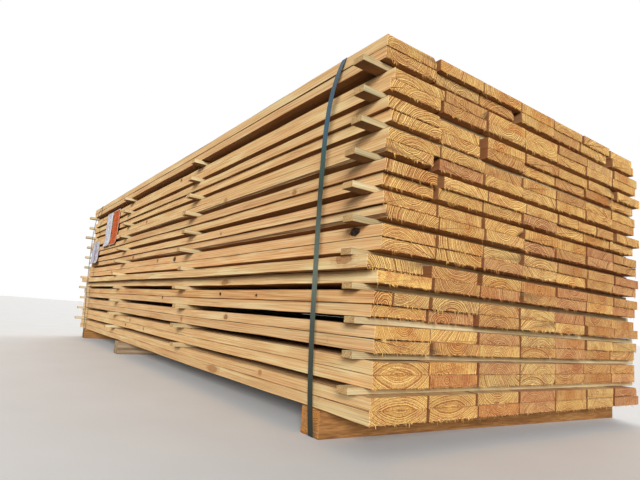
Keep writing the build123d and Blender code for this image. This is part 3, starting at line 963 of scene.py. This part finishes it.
# How far the sheet stands off the boards, from its top (0) to its lower edge (1).
pouch_fall = [(0.0, 0.0), (0.76, 0.0), (0.84, 0.0016), (0.92, 0.0059), (1.0, 0.013)]
fold_count, fold_height, fold_width = 12, 0.0018, (0.004, 0.011)
bulge_height, curl_height = 0.0016, 0.003
sheet_cells_across, sheet_cells_down = 44, 60
# The size of the painted crumple highlights and shade, and of the creases in the relief.
crumple_shading_mm, crease_mm = 38, 17
staple_inset, staple_drop = 0.07, 0.02
staple_half, staple_bend, staple_proud, staple_wire = 0.006, 0.0012, 0.0022, 0.0005
zinc_mm = 1.1

# Galvanised steel wire: dull grey with a faint brightness of its own.
staple_steel, tree, shader = new_material("galvanised staple wire")
position = node(tree, "NewGeometry")["Position"]
dull = node(tree, "TexNoise", {"Vector": position, "Scale": 1000 / zinc_mm})[0]
zinc = node(tree, "Mix", {0: dull, 6: linear("#8f9294"), 7: linear("#b9bcbd")},
            data_type="RGBA")[2]
connect(tree, shader, {"Base Color": zinc, "Metallic": 1.0, "Roughness": 0.4})


def filmed_paper(name, light, dark):
    """Paper behind clear polyethylene film: half glossy, with the highlights and shade of its
    crumples painted into its colour.
    """
    made, tree, shader = new_material(name)
    place = node(tree, "Attribute", attribute_name="place")["Vector"]
    # Painted highlights and shade of the crumples: the paper's colour goes from light to dark in
    # clouds.
    painted_crumple_shading = node(tree, "TexNoise", {"Vector": place, "Scale": 1000 / crumple_shading_mm, "Detail": 3.0})[0]
    painted_crumple_shading = node(tree, "MapRange", (painted_crumple_shading, 0.38, 0.64))[0]
    paper = node(tree, "Mix", {0: painted_crumple_shading, 6: linear(light), 7: linear(dark)}, data_type="RGBA")[2]
    rim = node(tree, "SeparateXYZ", (place,))[2]
    rim = node(tree, "MapRange", (rim, pouch_rim - 0.001, pouch_rim))[0]
    shown = node(tree, "Mix", {0: rim, 6: linear("#c7b59a"), 7: paper}, data_type="RGBA")[2]
    crease = node(tree, "TexNoise", {"Vector": place, "Scale": 1000 / crease_mm, "Detail": 4.0,
                                     "Distortion": 2.0})[0]
    relief = node(tree, "Bump", {"Strength": 1.0, "Distance": 0.0040, "Height": crease})[0]
    gloss = node(tree, "MapRange", {0: painted_crumple_shading, 3: 0.5, 4: 0.75})[0]
    connect(tree, shader, {"Base Color": shown, "Normal": relief, "Roughness": gloss,
                           "IOR": 1.5, "Specular IOR Level": 0.15})
    return made


def filmed_sheet(chance, low, high):
    """A crumpled sheet: the places of its points, what they say of themselves, its faces."""
    wide, tall = high.x - low.x, high.z - low.z
    s, t = np.meshgrid(np.linspace(0, 1, sheet_cells_across + 1),
                       np.linspace(0, 1, sheet_cells_down + 1))
    fall = np.interp(t, [row[0] for row in pouch_fall], [row[1] for row in pouch_fall])
    folds = np.zeros_like(s)
    for _ in range(fold_count):
        angle, where = chance.uniform(-1.0, 1.0), chance.uniform(0.05, 0.95)
        line = (s - where) * wide + angle * (t - chance.uniform(0, 1)) * tall
        folds += chance.uniform(0.3, 1.0) * np.exp(-(line / chance.uniform(*fold_width)) ** 2)
    slack = np.sin(math.pi * s) ** 0.5 * (0.25 + 0.75 * t)
    bulge = bulge_height * np.sin(s * 9 + t * 5 + chance.uniform(0, 6)) ** 2
    stand = pouch_film + fall + slack * (fold_height * folds + bulge)
    curl = curl_height * np.clip((t - 0.9) / 0.1, 0, 1) ** 2 * np.abs(2 * s - 1) ** 3
    front = np.stack([low.x + s * wide, high.y - stand - curl, high.z - t * tall], axis=-1)
    behind = front + (0, pouch_film, 0)
    behind[..., 1] = np.minimum(behind[..., 1], high.y)
    border = np.minimum(np.minimum(s, 1 - s) * wide, np.minimum(t, 1 - t) * tall)
    sheet = triples(s * wide, t * tall, border).reshape(-1, 3)

    row, back, faces = sheet_cells_across + 1, s.size, []
    for i in range(sheet_cells_down):
        for j in range(sheet_cells_across):
            a = i * row + j
            faces.append([a, a + row, a + row + 1, a + 1])
            faces.append([back + a, back + a + 1, back + a + row + 1, back + a + row])
    rim = list(range(row)) + [i * row + row - 1 for i in range(1, sheet_cells_down + 1)]
    rim += [sheet_cells_down * row + j for j in range(row - 2, -1, -1)]
    rim += [i * row for i in range(sheet_cells_down - 1, 0, -1)]
    for a, b in zip(rim, rim[1:] + rim[:1]):
        faces.append([a, b, back + b, back + a])
    places = np.concatenate([front.reshape(-1, 3), behind.reshape(-1, 3)])
    return places, np.concatenate([sheet, sheet]), faces


def staple(x, y, z, first):
    """A bar of wire whose ends are bent into the wood: its points, and faces from first on."""
    path = [(-staple_half, 0.0), (-staple_half + staple_bend, -staple_proud),
            (staple_half - staple_bend, -staple_proud), (staple_half, 0.0)]
    points, faces = [], []
    for dx, dy in path:
        at_end = abs(dx) > staple_half - 0.001
        for right, up in ((-1, -1), (1, -1), (1, 1), (-1, 1)):
            points.append((x + dx + right * staple_wire * at_end,
                           y + dy - right * staple_wire * (not at_end), z + up * staple_wire))
    for i in range(first, first + 12, 4):
        faces += [[i + j, i + (j + 1) % 4, i + 4 + (j + 1) % 4, i + 4 + j] for j in range(4)]
    faces += [[first + 3, first + 2, first + 1, first], list(range(first + 12, first + 16))]
    return points, faces


chance = np.random.RandomState(31)
# Each paper's colour, and its colour in painted crumple shade.
for name, slot_name, paper_light, paper_in_painted_shade in (
    ("pouch_orange", "pouch_orange", "#cc5c18", "#ad440c"),
    ("pouch_white", "pouch_white", "#e4e1e7", "#aeaab6"),
    ("pouch_low", "pouch_white", "#d6d1db", "#aca6b5"),
):
    film = filmed_paper("filmed paper of " + name, paper_light, paper_in_painted_shade)
    low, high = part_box(name)
    places, values, faces = filmed_sheet(chance, low, high)
    film_faces = len(faces)
    for share in (staple_inset, 1 - staple_inset):
        points, staple_faces = staple(low.x + share * (high.x - low.x), high.y,
                                      high.z - staple_drop, len(places))
        places = np.concatenate([places, points])
        values = np.concatenate([values, np.ones((len(points), 3))])
        faces += staple_faces
    mesh = bpy.data.meshes.new(name + "_sheet")
    mesh.from_pydata(places.tolist(), [], faces)
    made = mesh.attributes.new("place", "FLOAT_VECTOR", "POINT")
    made.data.foreach_set("vector", values.astype(np.float32).ravel())
    mesh.materials.append(film)
    mesh.materials.append(staple_steel)
    finish = np.zeros(len(faces), dtype=np.int32)
    finish[film_faces:] = 1
    mesh.polygons.foreach_set("material_index", finish)
    mesh.polygons.foreach_set("use_smooth", finish == 0)
    thing = bpy.data.objects.new(name + "_sheet", mesh)
    scene.collection.objects.link(thing)
    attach(thing, "root")
    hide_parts(name)
